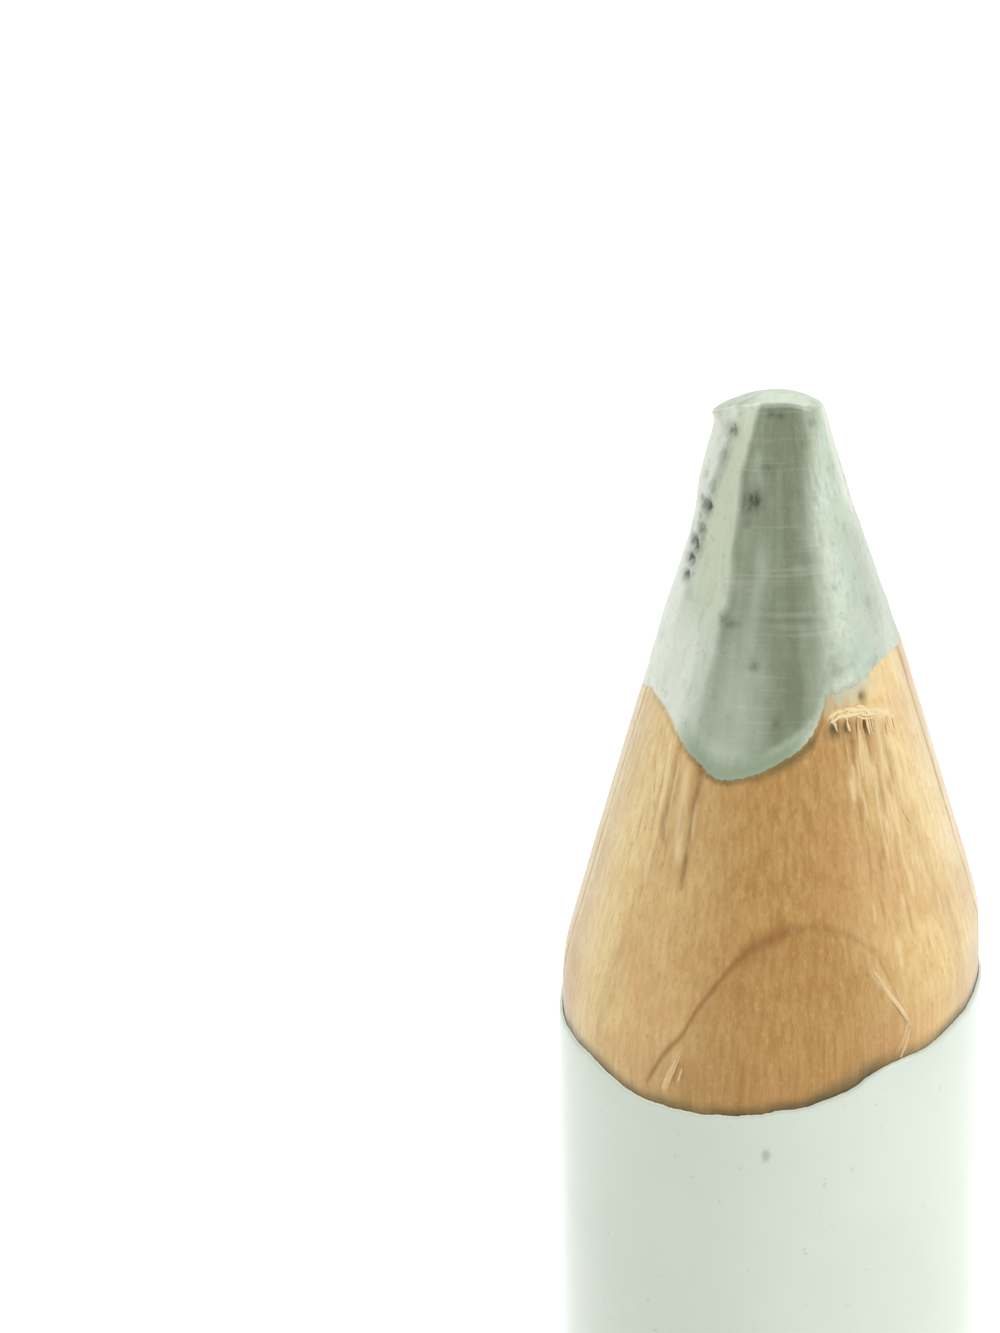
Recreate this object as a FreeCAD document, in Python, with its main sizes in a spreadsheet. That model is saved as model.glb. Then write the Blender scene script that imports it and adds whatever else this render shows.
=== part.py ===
import FreeCAD, Part
import math
import os
import Sketcher

# A wood-cased eyeliner pencil with a sharpened, worn point, in millimetres and degrees.
# The origin is the centre of the flat butt end, +Z runs along the pencil to its point,
# and -Y is the front, the side whose core is worn to facets.
# Azimuth is measured round the pencil from the front, positive towards +X.

# Driving sizes: name, number and meaning.
SIZES = [
    ("total_length", "150", "from the flat butt end to the crown of the tip"),
    ("barrel_diameter", "8", "outside of the lacquer"),
    ("lacquer_thickness", "0.08", "coat of paint on the wood"),
    ("core_offset", "0.32", "core and glue plane in front of the barrel axis"),
    ("cone_length", "11.3", "from the shoulder corner of the cut to the tip"),
    ("bare_core_length", "6.53", "from the rim of the wood in front to the tip"),
    ("tip_diameter", "1.7", "cone at its tip"),
    ("cut_right", "0.15", "axis of the sharpening cut right of the barrel axis"),
    ("cut_back", "0.15", "axis of the sharpening cut behind the barrel axis"),
    ("shoulder_radius", "12", "rounding between the cone and its run-out"),
    ("runout_length", "2.5", "run-out of the cut below the shoulder corner"),
    ("runout_flare", "0.45", "growth of the cut's radius over the run-out"),
    ("tip_crown_radius", "1.4", "dome of the worn tip"),
    ("tip_slope", "15", "fall of the worn tip towards the back"),
    ("tip_rounding", "0.12", "worn edge round the crown of the tip"),
    ("front_azimuth", "-4", "direction of the front facet"),
    ("front_tip_wear", "0.09", "depth of the front facet at the tip"),
    ("front_rim_wear", "0.14", "depth of the front facet above the rim of the wood"),
    ("side_azimuth", "-49", "direction of the side facet"),
    ("side_tip_wear", "0.05", "depth of the side facet at the tip"),
    ("side_rim_wear", "0.09", "depth of the side facet above the rim of the wood"),
    ("lip_height", "0.2", "lip of core between a facet and the rim of the wood"),
]

# Scallops of the lacquer edge: name, azimuth, drop of the lowest point below the
# shoulder corner, and radius of the round tool that leaves such a scallop.
SCALLOPS = [
    ("front", "-27", "1.65", "8"),
    ("right", "30", "0.83", "11"),
    ("back_right", "140", "0.9", "8"),
    ("back_left", "-140", "1.15", "8"),
    ("left", "-80", "1.25", "12"),
]

# Facets worn into the core, each with its own azimuth and wear above.
FACETS = ["side", "front"]

# Values worked out from the driving sizes.
DERIVED = [
    ("barrel_radius", "=barrel_diameter / 2"),
    ("wood_radius", "=barrel_radius - lacquer_thickness"),
    ("tip_radius", "=tip_diameter / 2"),
    ("corner_height", "=total_length - cone_length"),
    ("cone_slope", "=(barrel_radius - tip_radius) / cone_length"),
    ("run_end_radius", "=barrel_radius + runout_flare"),
    ("run_end_height", "=corner_height - runout_length"),
    ("rim_height", "=total_length - bare_core_length"),
    ("rim_radius", "=tip_radius + bare_core_length * cone_slope"),
    ("core_radius", "=rim_radius - core_offset - cut_back"),
    ("foot_height", "=rim_height + lip_height"),
    ("bevel_top_radius", "=tip_radius - tip_rounding"),
    ("bevel_foot_height", "=total_length - 2 * tip_rounding"),
    ("bevel_foot_radius", "=tip_radius + 2 * tip_rounding * cone_slope"),
    ("crown_height", "=total_length - tip_crown_radius * (1 - cos(tip_slope))"),
    ("crown_level", "=-tip_crown_radius"),
    ("crown_tilt", "=-tip_slope"),
    ("zero", "0"),
    ("cut_forward", "=-cut_back"),
    ("cutter_radius", "=barrel_radius * 2"),
    ("cutter_left", "=-cutter_radius"),
    ("cutter_width", "=cutter_radius * 2"),
    ("cutter_top", "=total_length + cutter_radius"),
]

UPRIGHT = FreeCAD.Vector(0, 1, 0)
ACROSS = FreeCAD.Vector(1, 0, 0)
OUT = FreeCAD.Vector(0, 0, 1)
ORIGIN = FreeCAD.Vector(0, 0, 0)

doc = FreeCAD.newDocument("eyeliner_pencil")
sheet = doc.addObject("Spreadsheet::Sheet", "sizes")


def fill_sheet():
    """Write the driving sizes and the values worked out from them."""
    rows = [(name, number) for name, number, _ in SIZES]
    for scallop, azimuth, drop, radius in SCALLOPS:
        rows.append((scallop + "_scallop_azimuth", azimuth))
        rows.append((scallop + "_scallop_drop", drop))
        rows.append((scallop + "_scallop_radius", radius))
    rows.extend(DERIVED)
    for scallop, _, _, _ in SCALLOPS:
        rows.append((scallop + "_scallop_centre",
                     "=corner_height - {0}_scallop_drop + {0}_scallop_radius".format(scallop)))
    for facet in FACETS:
        rows.append((facet + "_turn", "=%s_azimuth - 90" % facet))
        rows.append((facet + "_tip_radius", "=tip_radius - %s_tip_wear" % facet))
        rows.append((facet + "_foot_radius",
                     "=rim_radius - lip_height * cone_slope - %s_rim_wear" % facet))
        rows.append((facet + "_lip_radius", "=rim_radius + %s_rim_wear" % facet))
    for number, (name, content) in enumerate(rows, start=1):
        sheet.set("A%d" % number, name)
        sheet.set("B%d" % number, content)
        sheet.setAlias("B%d" % number, name)
    doc.recompute()


def value(cell):
    return float(sheet.get(cell))


def point(across, up):
    """The point of a sketch whose two coordinates stand in two cells."""
    return FreeCAD.Vector(value(across), value(up), 0)


def bind(owner, path, cell):
    owner.setExpression(path, "sizes." + cell)


def add_body(name):
    body = doc.addObject("PartDesign::Body", name)
    body.Label = name
    return body


def add_sketch(body, name, role):
    """Add a sketch on one of the body's own origin planes."""
    sketch = body.newObject("Sketcher::SketchObject", name)
    plane = next(item for item in body.Origin.OriginFeatures if item.Role == role)
    sketch.AttachmentSupport = [(plane, "")]
    sketch.MapMode = "FlatFace"
    return sketch


def move_sketch(sketch, cells):
    """Move a sketch along its plane's own axes, each by the number in a cell."""
    for path, cell in cells.items():
        bind(sketch, "AttachmentOffset.Base." + path, cell)


def turn_sketch(sketch, axis, cell):
    """Turn a sketch about one of its plane's own axes by the angle in a cell."""
    sketch.AttachmentOffset = FreeCAD.Placement(ORIGIN, FreeCAD.Rotation(axis, value(cell)))
    bind(sketch, "AttachmentOffset.Rotation.Angle", cell)


def relate(sketch, *terms):
    """Add a constraint that has no size."""
    sketch.addConstraint(Sketcher.Constraint(*terms))


def measure(sketch, label, cell, *terms):
    """Add a constraint whose size is the number in a cell."""
    index = sketch.addConstraint(Sketcher.Constraint(*terms, value(cell)))
    sketch.renameConstraint(index, label)
    bind(sketch, "Constraints." + label, cell)


def fix_point(sketch, label, geometry, end, across, up):
    """Tie a point of the sketch to two cells, measured from the sketch's origin."""
    measure(sketch, label + "_across", across, "DistanceX", -1, 1, geometry, end)
    measure(sketch, label + "_up", up, "DistanceY", -1, 1, geometry, end)


def draw_chain(sketch, edges):
    """Draw edges that follow one another into a closed outline."""
    for edge in edges:
        sketch.addGeometry(edge, False)
    for number in range(len(edges)):
        relate(sketch, "Coincident", number, 2, (number + 1) % len(edges), 1)


def draw_outline(sketch, corners):
    """Draw a closed outline of straight lines, each corner tied to two cells."""
    points = [point(across, up) for _, across, up in corners]
    followers = points[1:] + points[:1]
    draw_chain(sketch, [Part.LineSegment(*ends) for ends in zip(points, followers)])
    for number, (label, across, up) in enumerate(corners):
        fix_point(sketch, label, number, 1, across, up)


def check_cut(body, feature, before):
    """Stop if a cut took nothing away, or everything."""
    doc.recompute()
    after = body.Shape.Volume
    print("%s: %.3f to %.3f mm3" % (feature.Name, before, after))
    if not 0 < after < before:
        raise RuntimeError(feature.Name + " cut nothing or left nothing")


def pad_full_length(body, sketch):
    pad = body.newObject("PartDesign::Pad", body.Name + "_blank")
    pad.Profile = sketch
    bind(pad, "Length", "total_length")
    doc.recompute()


def cut_through(body, sketch, name):
    """Cut a profile through the body, both ways from its plane."""
    before = body.Shape.Volume
    pocket = body.newObject("PartDesign::Pocket", name)
    pocket.Profile = sketch
    pocket.Midplane = True
    bind(pocket, "Length", "cutter_width")
    check_cut(body, pocket, before)


def cut_outwards(body, sketch, name):
    """Cut a profile from the axis outwards, along the normal of its plane."""
    before = body.Shape.Volume
    pocket = body.newObject("PartDesign::Pocket", name)
    pocket.Profile = sketch
    pocket.Reversed = True
    bind(pocket, "Length", "cutter_radius")
    check_cut(body, pocket, before)


def cut_round(body, sketch, name):
    """Turn a profile all the way round the sketch's own upright axis as a cut."""
    before = body.Shape.Volume
    groove = body.newObject("PartDesign::Groove", name)
    groove.Profile = sketch
    groove.ReferenceAxis = (sketch, ["V_Axis"])
    groove.Angle = 360
    check_cut(body, groove, before)


def shoulder_arc(tip, corner, run_end, radius):
    """The arc that rounds the corner between two straight lines."""
    up_cone = (tip - corner).normalize()
    down_run = (run_end - corner).normalize()
    half_turn = (math.pi - up_cone.getAngle(down_run)) / 2
    reach = radius * math.tan(half_turn)
    depth = radius * (1 / math.cos(half_turn) - 1)
    middle = corner + (up_cone + down_run).normalize() * depth
    return Part.Arc(corner + up_cone * reach, middle, corner + down_run * reach)


def sharpen(body):
    """Cut the cone of the sharpener: cone, rounded shoulder and short run-out."""
    sketch = add_sketch(body, body.Name + "_cone_profile", "XZ_Plane")
    move_sketch(sketch, {"x": "cut_right", "z": "cut_forward"})
    tip = point("tip_radius", "total_length")
    corner = point("barrel_radius", "corner_height")
    run_end = point("run_end_radius", "run_end_height")
    floor_end = point("cutter_radius", "run_end_height")
    wall_end = point("cutter_radius", "cutter_top")
    lid_end = point("zero", "cutter_top")
    axis_end = point("zero", "total_length")
    arc = shoulder_arc(tip, corner, run_end, value("shoulder_radius"))
    upper = arc.value(arc.FirstParameter)
    lower = arc.value(arc.LastParameter)
    edges = [
        Part.LineSegment(tip, upper),
        Part.LineSegment(lower, run_end),
        Part.LineSegment(run_end, floor_end),
        Part.LineSegment(floor_end, wall_end),
        Part.LineSegment(wall_end, lid_end),
        Part.LineSegment(lid_end, axis_end),
        Part.LineSegment(axis_end, tip),
        arc,
    ]
    for edge in edges:
        sketch.addGeometry(edge, False)
    cone, run, floor, wall, lid, axis, flat, shoulder = range(len(edges))
    corner_point = sketch.addGeometry(Part.Point(corner), True)
    # Arcs are stored against the clock, so the end that meets the cone is looked up.
    first_is_upper = sketch.getPoint(shoulder, 1).isEqual(upper, 1e-6)
    cone_end, run_start = (1, 2) if first_is_upper else (2, 1)
    relate(sketch, "Tangent", cone, 2, shoulder, cone_end)
    relate(sketch, "Tangent", shoulder, run_start, run, 1)
    chain = [run, floor, wall, lid, axis, flat, cone]
    for first, second in zip(chain, chain[1:]):
        relate(sketch, "Coincident", first, 2, second, 1)
    for level in (floor, lid, flat):
        relate(sketch, "Horizontal", level)
    for upright in (wall, axis):
        relate(sketch, "Vertical", upright)
    for line in (cone, run):
        relate(sketch, "PointOnObject", corner_point, 1, line)
    relate(sketch, "PointOnObject", axis, 1, -2)
    measure(sketch, "shoulder", "shoulder_radius", "Radius", shoulder)
    fix_point(sketch, "tip", cone, 1, "tip_radius", "total_length")
    fix_point(sketch, "corner", corner_point, 1, "barrel_radius", "corner_height")
    fix_point(sketch, "run", run, 2, "run_end_radius", "run_end_height")
    fix_point(sketch, "wall", wall, 2, "cutter_radius", "cutter_top")
    cut_round(body, sketch, body.Name + "_sharpened")


def make_casing_half(name, side):
    """A glued wooden half with a round groove for the core: side -1 front, +1 back."""
    body = add_body(name)
    sketch = add_sketch(body, name + "_section", "XY_Plane")
    wood = value("wood_radius")
    core = value("core_radius")
    glue = -value("core_offset")
    reach = math.sqrt(wood ** 2 - glue ** 2)
    wood_right = FreeCAD.Vector(reach, glue, 0)
    wood_left = FreeCAD.Vector(-reach, glue, 0)
    core_right = FreeCAD.Vector(core, glue, 0)
    core_left = FreeCAD.Vector(-core, glue, 0)
    edges = [
        Part.Arc(wood_right, FreeCAD.Vector(0, side * wood, 0), wood_left),
        Part.LineSegment(wood_left, core_left),
        Part.Arc(core_left, FreeCAD.Vector(0, glue + side * core, 0), core_right),
        Part.LineSegment(core_right, wood_right),
    ]
    for edge in edges:
        sketch.addGeometry(edge, False)
    outside, left, groove, right = range(len(edges))
    # Arcs are stored against the clock, so their ends differ in the two halves.
    right_end, left_end = (1, 2) if side > 0 else (2, 1)
    relate(sketch, "Coincident", outside, 3, -1, 1)
    relate(sketch, "Coincident", outside, left_end, left, 1)
    relate(sketch, "Coincident", groove, left_end, left, 2)
    relate(sketch, "Coincident", groove, right_end, right, 1)
    relate(sketch, "Coincident", outside, right_end, right, 2)
    relate(sketch, "Horizontal", left)
    relate(sketch, "Horizontal", right)
    relate(sketch, "PointOnObject", groove, 3, -2)
    relate(sketch, "Horizontal", groove, left_end, groove, 3)
    relate(sketch, "Horizontal", groove, right_end, groove, 3)
    measure(sketch, "outside", "wood_radius", "Radius", outside)
    measure(sketch, "groove", "core_radius", "Radius", groove)
    measure(sketch, "glue_plane", "core_offset", "DistanceY", groove, 3, -1, 1)
    pad_full_length(body, sketch)
    sharpen(body)
    return body


def cut_scallop(body, name):
    """Cut the edge with a round tool whose axis points outwards at one azimuth."""
    sketch = add_sketch(body, name, "XZ_Plane")
    turn_sketch(sketch, UPRIGHT, name + "_azimuth")
    centre = point("zero", name + "_centre")
    sketch.addGeometry(Part.Circle(centre, OUT, value(name + "_radius")), False)
    relate(sketch, "PointOnObject", 0, 3, -2)
    measure(sketch, "tool", name + "_radius", "Radius", 0)
    measure(sketch, "centre", name + "_centre", "DistanceY", -1, 1, 0, 3)
    cut_outwards(body, sketch, name + "_cut")


def make_lacquer():
    """The painted coat: a thin sleeve whose upper edge is cut to shallow scallops."""
    body = add_body("barrel_lacquer")
    sketch = add_sketch(body, "barrel_lacquer_section", "XY_Plane")
    for number, cell in enumerate(("barrel_radius", "wood_radius")):
        sketch.addGeometry(Part.Circle(ORIGIN, OUT, value(cell)), False)
        relate(sketch, "Coincident", number, 3, -1, 1)
        measure(sketch, cell, cell, "Radius", number)
    pad_full_length(body, sketch)
    sharpen(body)
    for scallop, _, _, _ in SCALLOPS:
        cut_scallop(body, scallop + "_scallop")
    return body


def cut_facet(body, facet):
    """Wear one facet into the core, with a lip above the rim of the wood."""
    sketch = add_sketch(body, facet + "_facet_profile", "XZ_Plane")
    turn_sketch(sketch, UPRIGHT, facet + "_turn")
    move_sketch(sketch, {"x": "cut_right", "z": "cut_forward"})
    corners = [
        ("tip", facet + "_tip_radius", "total_length"),
        ("foot", facet + "_foot_radius", "foot_height"),
        ("rim", facet + "_lip_radius", "rim_height"),
        ("low", "cutter_radius", "rim_height"),
        ("high", "cutter_radius", "cutter_top"),
        ("above", facet + "_tip_radius", "cutter_top"),
    ]
    draw_outline(sketch, corners)
    cut_through(body, sketch, facet + "_facet")


def crown_tip(body):
    """Wear the tip to a dome about an axis of its own, which leans to the back."""
    sketch = add_sketch(body, "tip_crown_profile", "YZ_Plane")
    turn_sketch(sketch, OUT, "crown_tilt")
    move_sketch(sketch, {"x": "cut_back", "y": "crown_height", "z": "cut_right"})
    centre = point("zero", "crown_level")
    level = FreeCAD.Vector(value("tip_crown_radius"), value("crown_level"), 0)
    quarter = Part.Circle(centre, OUT, value("tip_crown_radius"))
    low_right = point("cutter_radius", "crown_level")
    high_right = point("cutter_radius", "cutter_radius")
    high_left = point("zero", "cutter_radius")
    draw_chain(sketch, [
        Part.ArcOfCircle(quarter, 0, math.pi / 2),
        Part.LineSegment(ORIGIN, high_left),
        Part.LineSegment(high_left, high_right),
        Part.LineSegment(high_right, low_right),
        Part.LineSegment(low_right, level),
    ])
    crown, axis_line, lid, wall, floor = range(5)
    relate(sketch, "Coincident", crown, 2, -1, 1)
    relate(sketch, "PointOnObject", crown, 3, -2)
    relate(sketch, "Vertical", axis_line)
    relate(sketch, "Horizontal", lid)
    relate(sketch, "Vertical", wall)
    relate(sketch, "Horizontal", floor)
    relate(sketch, "Horizontal", crown, 1, crown, 3)
    measure(sketch, "crown", "tip_crown_radius", "Radius", crown)
    fix_point(sketch, "corner", wall, 1, "cutter_radius", "cutter_radius")
    cut_round(body, sketch, "tip_crown")


def bevel_tip(body):
    """Bevel the edge of the tip, as wear does where it stands highest."""
    sketch = add_sketch(body, "tip_edge_profile", "XZ_Plane")
    move_sketch(sketch, {"x": "cut_right", "z": "cut_forward"})
    corners = [
        ("top", "bevel_top_radius", "total_length"),
        ("foot", "bevel_foot_radius", "bevel_foot_height"),
        ("low", "cutter_radius", "bevel_foot_height"),
        ("high", "cutter_radius", "cutter_top"),
        ("above", "bevel_top_radius", "cutter_top"),
    ]
    draw_outline(sketch, corners)
    cut_round(body, sketch, "tip_edge")


def make_core():
    """The pigment core: full length, sharpened with the wood, then worn."""
    body = add_body("pigment_core")
    sketch = add_sketch(body, "pigment_core_section", "XY_Plane")
    centre = FreeCAD.Vector(0, -value("core_offset"), 0)
    sketch.addGeometry(Part.Circle(centre, OUT, value("core_radius")), False)
    relate(sketch, "PointOnObject", 0, 3, -2)
    measure(sketch, "core", "core_radius", "Radius", 0)
    measure(sketch, "offset", "core_offset", "DistanceY", 0, 3, -1, 1)
    pad_full_length(body, sketch)
    sharpen(body)
    for facet in FACETS:
        cut_facet(body, facet)
    bevel_tip(body)
    crown_tip(body)
    return body


def check_document(parts):
    """Stop if any object failed, or a sub-part isn't one valid solid."""
    doc.recompute()
    for item in doc.Objects:
        if "Invalid" in item.State or "Error" in item.State:
            raise RuntimeError(item.Name + " is " + ", ".join(item.State))
    for part in parts:
        shape = part.Shape
        if shape.isNull() or not shape.isValid() or len(shape.Solids) != 1:
            raise RuntimeError(part.Label + " has no valid single solid")
        box = shape.BoundBox
        print("%s: %.2f mm3, z %.3f to %.3f" % (part.Label, shape.Volume, box.ZMin, box.ZMax))


fill_sheet()
parts = [
    make_core(),
    make_casing_half("casing_front_half", -1),
    make_casing_half("casing_back_half", 1),
    make_lacquer(),
]
check_document(parts)
os.makedirs("parts", exist_ok=True)
for part in parts:
    part.Shape.exportStep("parts/" + part.Label + ".step")
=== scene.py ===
import functools
import math

import bmesh
import bpy
import numpy as np
from mathutils import Matrix, Vector


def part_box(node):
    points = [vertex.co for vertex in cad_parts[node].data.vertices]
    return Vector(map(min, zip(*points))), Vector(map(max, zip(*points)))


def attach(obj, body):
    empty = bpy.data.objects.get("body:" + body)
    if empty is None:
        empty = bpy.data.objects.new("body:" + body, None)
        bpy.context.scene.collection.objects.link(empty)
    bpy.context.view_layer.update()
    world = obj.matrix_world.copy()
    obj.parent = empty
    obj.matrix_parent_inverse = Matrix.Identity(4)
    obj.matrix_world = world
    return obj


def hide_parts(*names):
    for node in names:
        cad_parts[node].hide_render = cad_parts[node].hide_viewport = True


# Looks of a wood-cased eyeliner pencil with a sharpened, worn point.
# Lengths are in millimetres until a mesh is made, azimuths in degrees from the front (-Y),
# positive towards +X, and heights are above the ring where the sharpened cone starts.

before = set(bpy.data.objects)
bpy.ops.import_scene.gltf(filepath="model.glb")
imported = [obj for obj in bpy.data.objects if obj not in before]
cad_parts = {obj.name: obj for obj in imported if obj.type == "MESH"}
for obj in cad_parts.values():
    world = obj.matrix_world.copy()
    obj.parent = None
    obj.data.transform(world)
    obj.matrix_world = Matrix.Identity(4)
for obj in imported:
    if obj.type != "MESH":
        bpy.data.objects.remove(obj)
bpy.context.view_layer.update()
scene = bpy.context.scene

MM = 0.001


def node_radius(node):
    """Half the width of a CAD node, in millimetres."""
    low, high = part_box(node)
    return round((high.x - low.x) / 2 / MM, 2)


# Sizes that the frame gives.
core_low, core_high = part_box("pigment_core")
LENGTH = round(core_high.z / MM, 2)
BARREL_RADIUS = node_radius("barrel_lacquer")
WOOD_RADIUS = node_radius("casing_back_half")
CORE_RADIUS = node_radius("pigment_core")

# Sizes that the frame doesn't give as they are.
CONE_LENGTH = 11.3
TIP_RADIUS = 0.85
RUNOUT_SLOPE = 0.18
SHOULDER_BLEND = 0.026
WOOD_BLEND = 0.05
CROWN_RADIUS = 1.4
CROWN_TILT = math.radians(15)
LEFT_FLATNESS = 0.78
# How far the hidden side of a piece keeps off its neighbour.
CLEARANCE = 0.012
# How far the lacquer reaches in past the wood's radius.
OVERLAP = 0.004
CORNER = LENGTH - CONE_LENGTH
SLOPE = (BARREL_RADIUS - TIP_RADIUS) / CONE_LENGTH

# Centres, each as (x, y).
BARREL = np.array([0.0, 0.0])
CUT = np.array([0.15, 0.15])
CORE = np.array([0.0, round((core_low.y + core_high.y) / 2 / MM, 2)])


# Numbers and noise

def smooth(low, high, x):
    """0 below low, 1 above high, smooth between them."""
    t = np.clip((x - low) / (high - low), 0, 1)
    return t * t * (3 - 2 * t)


def window(x, rise, full, fade, end):
    """0 outside, 1 between full and fade, smooth from rise and down to end."""
    return smooth(rise, full, x) * (1 - smooth(fade, end, x))


def hill(x, width):
    """1 at 0, falling evenly on both sides."""
    return np.exp(-(x / width) ** 2)


def strongest(*layers):
    """The greatest of several masks at each point."""
    return functools.reduce(np.maximum, layers)


def turned(azimuth, centre):
    """Azimuth measured from a centre, from -180 to 180."""
    return (azimuth - centre + 180) % 360 - 180


def facing(azimuth, middle, width):
    """1 at one azimuth, falling evenly on both sides."""
    return hill(turned(azimuth, middle), width)


def lower_of(a, b, blend):
    """The lower of two numbers, with a rounded change from one to the other."""
    return (a + b - np.sqrt((a - b) ** 2 + blend ** 2)) / 2


# Most lobes round the pencil, and steps up it after which the noise repeats.
NOISE_AROUND = 1024
NOISE_UP = 256
# Sum of the strengths of three octaves.
OCTAVES_SUM = 1.75


@functools.cache
def noise_table(seed):
    return np.random.default_rng(seed).uniform(-1, 1, (NOISE_AROUND, NOISE_UP))


def noise(u, v, period, seed):
    """Smooth noise from -1 to 1 with a lattice of whole numbers; u repeats after period."""
    table = noise_table(seed)
    whole_u, whole_v = np.floor(u).astype(int), np.floor(v).astype(int)
    su, sv = smooth(0, 1, u - whole_u), smooth(0, 1, v - whole_v)
    u0, u1 = whole_u % period, (whole_u + 1) % period
    v0, v1 = whole_v % NOISE_UP, (whole_v + 1) % NOISE_UP
    low = table[u0, v0] * (1 - su) + table[u1, v0] * su
    high = table[u0, v1] * (1 - su) + table[u1, v1] * su
    return low * (1 - sv) + high * sv


def grain(azimuth, height, lobes, per_mm, seed):
    """Noise with lobes round the pencil, and so many changes a millimetre up it."""
    return noise(azimuth / 360 * lobes, height * per_mm, lobes, seed)


def fractal(azimuth, height, lobes, per_mm, seed, octaves=3):
    """Such noise in octaves, each twice as fine and half as strong as the last."""
    total = sum(grain(azimuth, height, lobes * 2 ** k, per_mm * 2 ** k, seed + k) / 2 ** k
                for k in range(octaves))
    return total / OCTAVES_SUM


# Shape of the sharpened end

def cone_radius(height):
    """Radius of the sharpener's cut about its own axis."""
    return lower_of(BARREL_RADIUS - height * SLOPE, BARREL_RADIUS - height * RUNOUT_SLOPE,
                    SHOULDER_BLEND)


def outwards(azimuth):
    """Unit vectors (x, y) that point to azimuths."""
    angle = np.radians(azimuth)
    return np.stack([np.sin(angle), -np.cos(angle)], -1)


def reach(azimuth, centre, circle, radius):
    """Distance from a centre to a circle about another centre, towards an azimuth."""
    offset = circle - centre
    along = outwards(azimuth) @ offset
    return along + np.sqrt(radius ** 2 - offset @ offset + along ** 2)


def azimuth_of(points, centre):
    """Azimuth of points (x, y, ...) seen from a centre."""
    return np.degrees(np.arctan2(points[..., 0] - centre[0], -(points[..., 1] - centre[1])))


def round_curve(outline, soften):
    """A height for each azimuth, near the given places all the way round."""
    azimuths, heights = np.array(sorted(outline), float).T
    step = 0.25
    reach_steps = 40
    whole = np.arange(-180, 180, step)
    values = np.interp(whole, azimuths, heights, period=360)
    kernel = hill(np.arange(-reach_steps, reach_steps + 1) * step, soften)
    kernel /= kernel.sum()
    values = np.convolve(np.pad(values, reach_steps, "wrap"), kernel, "valid")

    def curve(azimuth):
        return np.interp(azimuth, whole, values, period=360)
    return curve


# Edge between core and wood: azimuth about the axis of the cut, and height.
CORE_EDGE = [
    (-98, 5.18), (-84, 5.42), (-73, 5.6), (-66, 5.56), (-57, 5.47), (-50, 5.27), (-43, 5.04),
    (-37.5, 4.9), (-32, 4.78), (-29, 4.65), (-25, 4.58), (-18, 4.6), (-11, 4.7), (-5, 4.84),
    (1, 4.98), (8, 5.14), (14.5, 5.36), (18, 5.56), (20, 5.76), (23, 6.02), (30, 6.1),
    (38, 6.14), (48, 6.26), (58, 6.36), (70, 6.35), (84, 6.25), (98, 6.2), (110, 6.55),
    (124, 7.2), (140, 7.75), (160, 8.08), (-180, 8.1), (-160, 7.85), (-142, 7.2), (-125, 6.3),
    (-110, 5.55),
]

# Edge of the lacquer on the barrel: azimuth about the axis of the cut, and height.
COAT_EDGE = [
    (-68, -1.23), (-58, -1.26), (-53.5, -1.33), (-46.5, -1.44), (-40, -1.55), (-34.5, -1.59),
    (-19, -1.59), (-9.5, -1.53), (-1, -1.42), (4.7, -1.37), (9.6, -1.31), (14.5, -1.2),
    (19.3, -1.1), (24.2, -0.93), (30, -0.8), (35.7, -0.77), (42, -0.75), (49.7, -0.69),
    (59, -0.6), (66, -0.56), (72.5, -0.49), (90, -0.42), (108, -0.62), (127, -0.86),
    (144, -0.9), (161, -0.7), (178, -0.48), (-168, -0.62), (-152, -0.98), (-137, -1.15),
    (-122, -1.0), (-107, -0.86), (-94, -1.06), (-82, -1.25), (-75, -1.26),
]

core_edge_curve = round_curve(CORE_EDGE, 1.3)
coat_edge_curve = round_curve(COAT_EDGE, 1.6)


def core_edge(azimuth):
    """Height of the edge between core and wood, with its small ragged steps."""
    fine = grain(azimuth, 0 * azimuth, 400, 1, 11) * 0.022
    torn = facing(azimuth, 36, 15)
    ragged = fractal(azimuth, 0 * azimuth, 90, 1, 12) * 0.075 * torn
    return core_edge_curve(azimuth) + fine + ragged


def coat_edge(azimuth):
    """Height of the edge of the lacquer, slightly wavy as a blade leaves it."""
    wavy = grain(azimuth, 0 * azimuth, 90, 1, 21) * 0.018
    fine = grain(azimuth, 0 * azimuth, 420, 1, 22) * 0.008
    return coat_edge_curve(azimuth) + wavy + fine


# Marks on the surface

def path_at(path, height):
    """Azimuth at a height of a path of (azimuth about the cut, height)."""
    azimuths, heights = np.array(sorted(path, key=lambda place: place[1]), float).T
    return np.interp(height, heights, azimuths)


def streak(azimuth, height, path, width, fade=0.12):
    """Mark along such a path."""
    across = np.radians(turned(azimuth, path_at(path, height))) * cone_radius(height)
    low, high = sorted((path[0][1], path[-1][1]))
    ends = window(height, low - fade, low + fade, high - fade, high + fade)
    return hill(across, width) * ends


def spot(azimuth, height, place, across, along):
    """Round or long mark at one place."""
    sideways = np.radians(turned(azimuth, place[0])) * cone_radius(height)
    return hill(sideways, across) * hill(height - place[1], along)


def spots(azimuth, height, rows):
    """Depth and shape of each mark of a table."""
    for *place, across, along, depth in rows:
        yield depth, spot(azimuth, height, place, across, along)


def band_mark(azimuth, height, path, width, fade=1.5):
    """Mark along a path of (azimuth, height) that runs round the pencil."""
    azimuths, heights = np.array(path, float).T
    left, right = azimuths[0], azimuths[-1]
    centre = np.interp(azimuth, azimuths, heights)
    inside = window(azimuth, left - fade, left + fade, right - fade, right + fade)
    return hill(height - centre, width) * inside


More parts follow.
